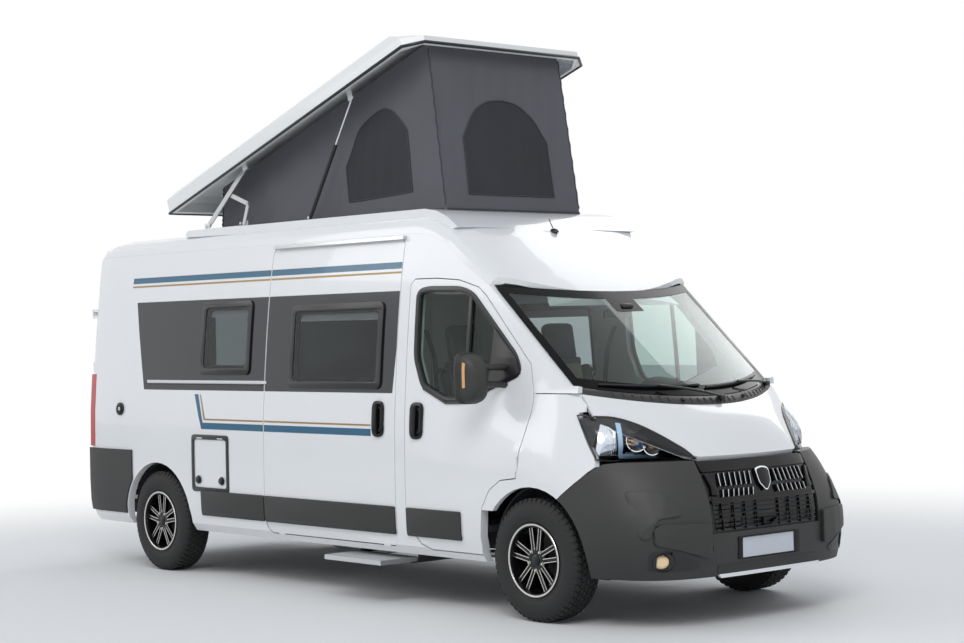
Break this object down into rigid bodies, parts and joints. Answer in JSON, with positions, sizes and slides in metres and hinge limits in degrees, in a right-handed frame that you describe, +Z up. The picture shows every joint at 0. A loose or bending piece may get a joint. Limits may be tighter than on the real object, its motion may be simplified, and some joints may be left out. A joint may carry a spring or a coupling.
{
  "type": "camper van",
  "caption": "Long white camper van with sliding side door, hinged cab and rear doors, raised pop-up sleeping roof with canvas walls, entry step and turning wheels.",
  "frame": {"origin": "on the road under the middle of the van's length and width", "axes": "+X forward along the van, +Y to its left side, +Z up"},
  "size_m": [5.999, 2.508, 3.6593],
  "materials": {
    "white_paint": "gloss white paint",
    "white_grp": "gloss white moulded shell",
    "underbody_steel": "dark coated steel",
    "windscreen_glass": "clear laminated glass",
    "bumper_plastic": "grained graphite plastic",
    "grille_gloss": "gloss black",
    "headlamp_lens": "clear lens over dark housing",
    "tail_lamp_lens": "red lens",
    "tyre_rubber": "tyre rubber",
    "alloy": "black and machined alloy",
    "engine_iron": "plain block",
    "steering_rubber": "soft black rim",
    "seat_leather": "dark and beige seat cover",
    "furniture_board": "pale laminated board",
    "tent_canvas": "dark grey canvas",
    "strut_black": "black tube",
    "rod_chrome": "polished rod"
  },
  "bodies": {
    "body": {"platform": "underbody_steel", "side_right": "white_paint", "side_left": "white_paint", "roof": "white_paint", "front_wings": "white_paint", "windscreen": "windscreen_glass", "front_bumper": "bumper_plastic", "grille": "grille_gloss", "headlamps": "headlamp_lens", "tail_lamps": "tail_lamp_lens", "rear_bumper": "bumper_plastic", "sliding_door": "white_paint", "front_axle": "underbody_steel", "rear_axle": "underbody_steel", "engine": "engine_iron", "dashboard": "bumper_plastic", "cab_seats": "seat_leather", "furniture": "furniture_board", "tent": "tent_canvas"},
    "bonnet": {"bonnet": "white_paint"},
    "cab_door_right": {"front_door_right": "white_paint", "mirror_right": "bumper_plastic"},
    "cab_door_left": {"front_door_left": "white_paint", "mirror_left": "bumper_plastic"},
    "rear_leaf_right": {"rear_door_right": "white_paint"},
    "rear_leaf_left": {"rear_door_left": "white_paint"},
    "hub_front_right": {"knuckle_right": "underbody_steel"},
    "hub_front_left": {"knuckle_left": "underbody_steel"},
    "wheel_front_right": {"tyre_front_right": "tyre_rubber", "rim_front_right": "alloy"},
    "wheel_front_left": {"tyre_front_left": "tyre_rubber", "rim_front_left": "alloy"},
    "wheel_rear_right": {"tyre_rear_right": "tyre_rubber", "rim_rear_right": "alloy"},
    "wheel_rear_left": {"tyre_rear_left": "tyre_rubber", "rim_rear_left": "alloy"},
    "steering_wheel": {"steering_wheel": "steering_rubber"},
    "roof_arms": {"lift_arms": "underbody_steel"},
    "roof_shell": {"pop_roof": "white_grp"},
    "roof_link_uppers": {"link_uppers": "underbody_steel"},
    "roof_link_lowers": {"link_lowers": "underbody_steel"},
    "strut_tubes": {"strut_tubes": "strut_black"},
    "strut_rods": {"strut_rods": "rod_chrome"},
    "step": {"entry_step": "alloy"},
    "hatch_lid": {"service_hatch": "white_paint"}
  },
  "joints": [
    {"name": "spin_front_right", "type": "hinge", "parent": "hub_front_right", "child": "wheel_front_right", "pos_m": [2.051, -0.9, 0.365], "axis": [0, 1, 0], "continuous": true},
    {"name": "spin_front_left", "type": "hinge", "parent": "hub_front_left", "child": "wheel_front_left", "pos_m": [2.051, 0.9, 0.365], "axis": [0, 1, 0], "continuous": true},
    {"name": "spin_rear_right", "type": "hinge", "parent": "body", "child": "wheel_rear_right", "pos_m": [-1.984, -0.9, 0.365], "axis": [0, 1, 0], "continuous": true},
    {"name": "spin_rear_left", "type": "hinge", "parent": "body", "child": "wheel_rear_left", "pos_m": [-1.984, 0.9, 0.365], "axis": [0, 1, 0], "continuous": true},
    {"name": "steer_right", "type": "hinge", "parent": "body", "child": "hub_front_right", "pos_m": [2.051, -0.752, 0.365], "axis": [0, 0, 1], "range_deg": [-30, 30]},
    {"name": "steer_left", "type": "hinge", "parent": "body", "child": "hub_front_left", "pos_m": [2.051, 0.752, 0.365], "axis": [0, 0, 1], "range_deg": [-30, 30]},
    {"name": "steering_turn", "type": "hinge", "parent": "body", "child": "steering_wheel", "pos_m": [1.56, 0.42, 1.13], "axis": [-0.848, 0, 0.5299], "range_deg": [-460, 460]},
    {"name": "cab_door_right_open", "type": "hinge", "parent": "body", "child": "cab_door_right", "pos_m": [1.939, -1.027, 0.93], "axis": [0, 0, 1], "range_deg": [0, 72]},
    {"name": "cab_door_left_open", "type": "hinge", "parent": "body", "child": "cab_door_left", "pos_m": [1.939, 1.027, 0.93], "axis": [0, 0, -1], "range_deg": [0, 72]},
    {"name": "rear_door_right_open", "type": "hinge", "parent": "body", "child": "rear_leaf_right", "pos_m": [-2.993, -0.939, 1.5], "axis": [0, 0, 1], "range_deg": [0, 180]},
    {"name": "rear_door_left_open", "type": "hinge", "parent": "body", "child": "rear_leaf_left", "pos_m": [-2.993, 0.939, 1.5], "axis": [0, 0, -1], "range_deg": [0, 180]},
    {"name": "bonnet_open", "type": "hinge", "parent": "body", "child": "bonnet", "pos_m": [2.319, 0, 1.343], "axis": [0, -1, 0], "range_deg": [0, 55]},
    {"name": "roof_lift", "type": "hinge", "parent": "body", "child": "roof_arms", "pos_m": [-1.671, 0, 2.53], "axis": [0, 1, 0], "range_deg": [0, 37], "deforming": ["tent"]},
    {"name": "roof_tilt", "type": "hinge", "parent": "roof_arms", "child": "roof_shell", "pos_m": [-1.17829, 0, 2.92899], "axis": [0, 1, 0], "range_deg": [-19.3, 0]},
    {"name": "link_lower_turn", "type": "hinge", "parent": "body", "child": "roof_link_lowers", "pos_m": [-1.237, 0, 2.53], "axis": [0, 1, 0], "range_deg": [0, 53.78]},
    {"name": "link_upper_turn", "type": "hinge", "parent": "roof_arms", "child": "roof_link_uppers", "pos_m": [-1.40402, 0, 2.75008], "axis": [0, 1, 0], "range_deg": [-61.44, 0]},
    {"name": "strut_turn", "type": "hinge", "parent": "body", "child": "strut_tubes", "pos_m": [-0.47, 0, 2.528], "axis": [0, 1, 0], "range_deg": [0, 55.65]},
    {"name": "strut_slide", "type": "slide", "parent": "strut_tubes", "child": "strut_rods", "axis": [0.5375, 0, 0.8433], "range_m": [-0.2297, 0]},
    {"name": "step_slide", "type": "slide", "parent": "body", "child": "step", "axis": [0, 1, 0], "range_m": [0, 0.24]},
    {"name": "hatch_open", "type": "hinge", "parent": "body", "child": "hatch_lid", "pos_m": [-1.28, -1.026, 0.993], "axis": [-1, 0, 0], "range_deg": [0, 95]}
  ],
  "couplings": [
    {"joint": "steer_left", "follows": "steer_right", "ratio": 1},
    {"joint": "steering_turn", "follows": "steer_right", "ratio": 15},
    {"joint": "roof_tilt", "follows": "roof_lift", "ratio": -0.52162},
    {"joint": "link_lower_turn", "follows": "roof_lift", "ratio": 1.4535},
    {"joint": "link_upper_turn", "follows": "roof_lift", "ratio": -1.6605},
    {"joint": "strut_turn", "follows": "roof_lift", "ratio": 1.5041},
    {"joint": "strut_slide", "follows": "roof_lift", "m_per_rad": -0.3557}
  ]
}
